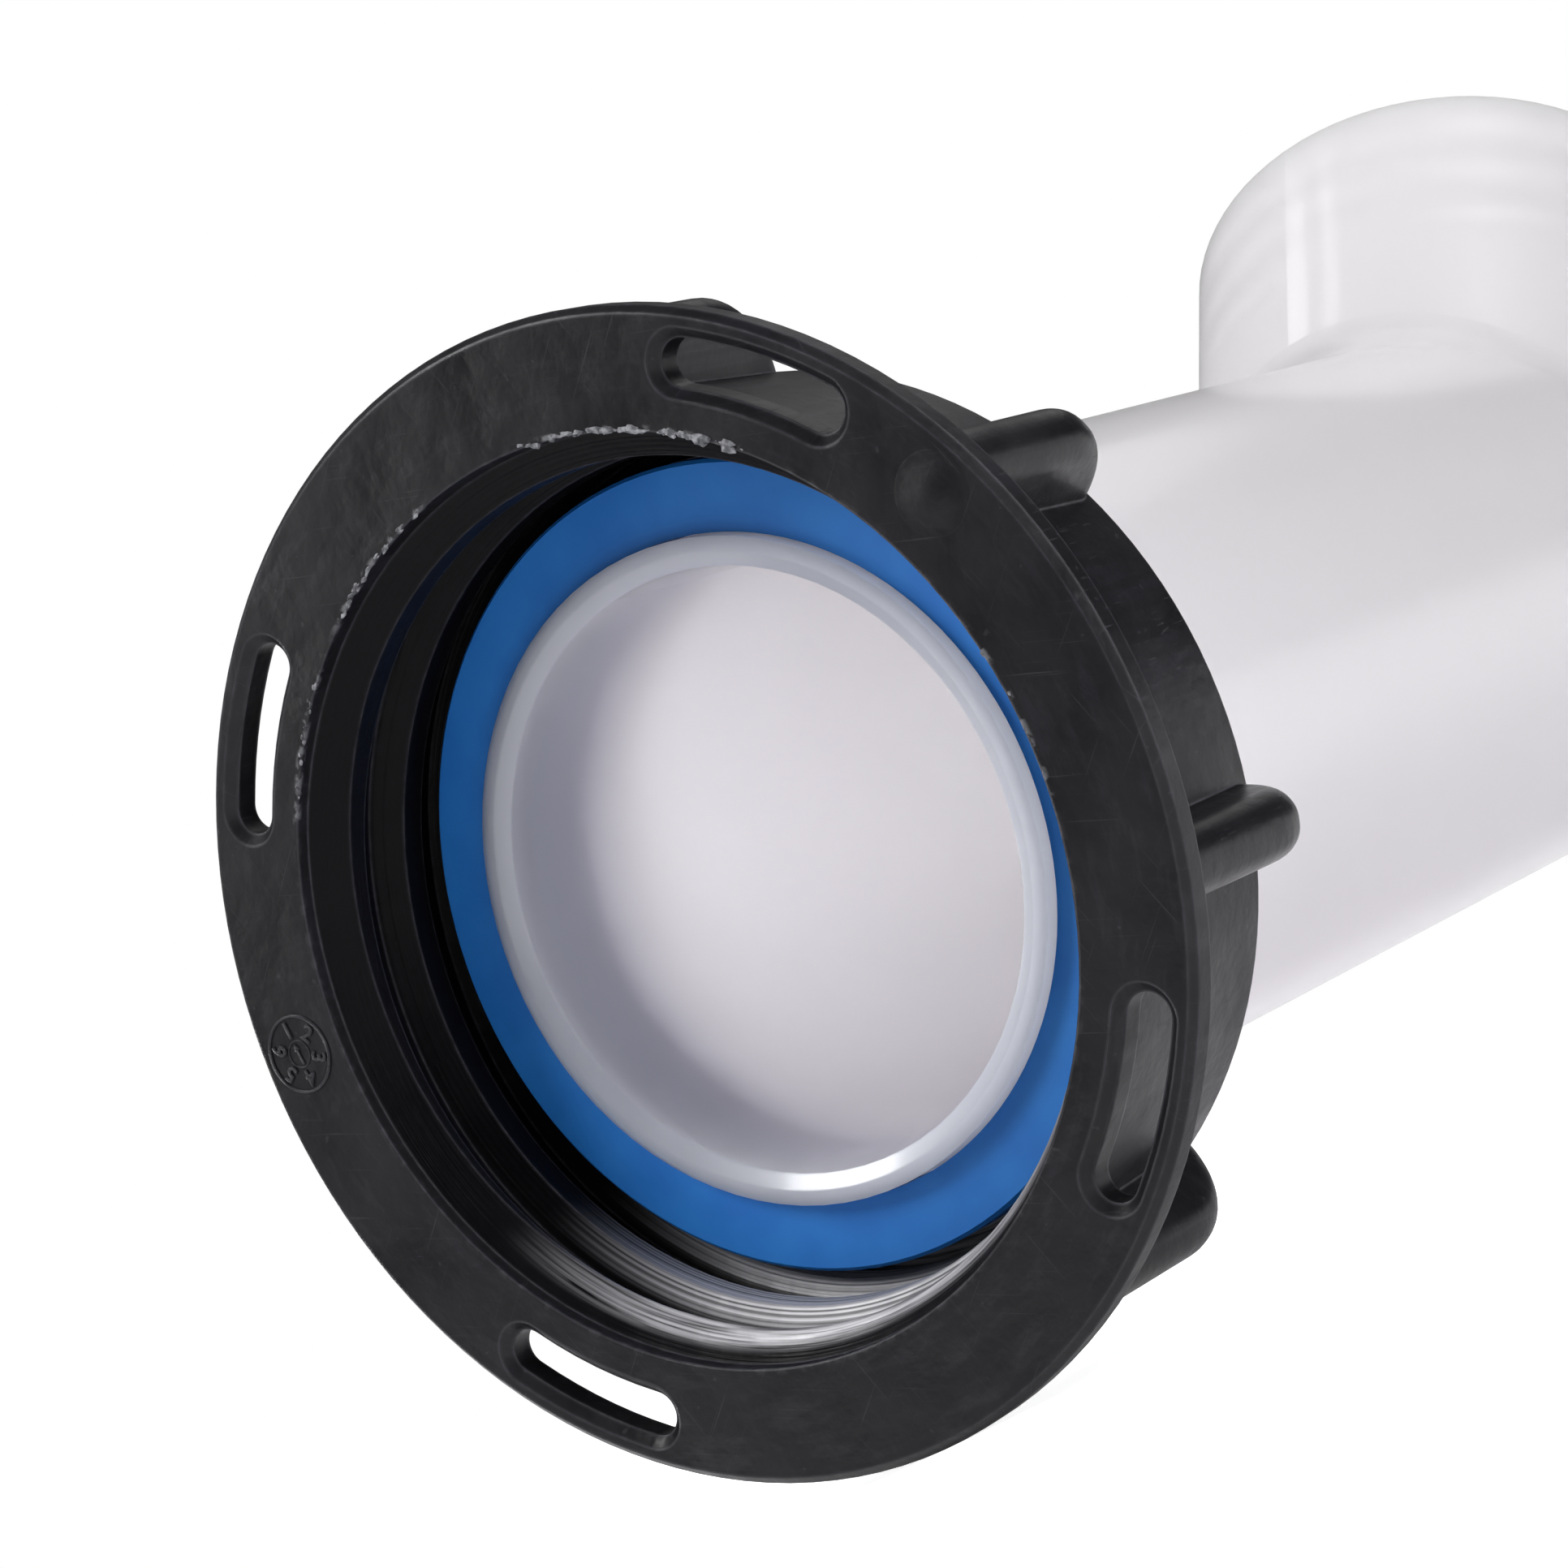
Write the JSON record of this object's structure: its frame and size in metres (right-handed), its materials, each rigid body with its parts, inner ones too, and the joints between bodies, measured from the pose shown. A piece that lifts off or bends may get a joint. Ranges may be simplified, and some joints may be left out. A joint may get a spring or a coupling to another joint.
{
  "type": "ibc tap adapter",
  "caption": "Outlet spout for a bulk container's tap: a wide coarse-threaded union nut turns on a straight tube that ends in a 45 degree bend, with a flat gasket inside the nut.",
  "frame": {"origin": "centre of the nut's mouth, where the tap's thread goes in", "axes": "+Y runs from the mouth along the tube, the spout bends towards +Z, and +X is to the right looking along +Y"},
  "size_m": [0.0754, 0.1631, 0.0819],
  "materials": {
    "nut_plastic": "satin",
    "gasket_rubber": "matte",
    "spout_plastic": "satin"
  },
  "bodies": {
    "spout": {"spout": "spout_plastic", "flat_gasket": "gasket_rubber"},
    "nut": {"union_nut": "nut_plastic"}
  },
  "joints": [
    {"name": "nut_spin", "type": "hinge", "parent": "spout", "child": "nut", "pos_m": [0, 0, 0], "axis": [0, 1, 0], "continuous": true}
  ]
}
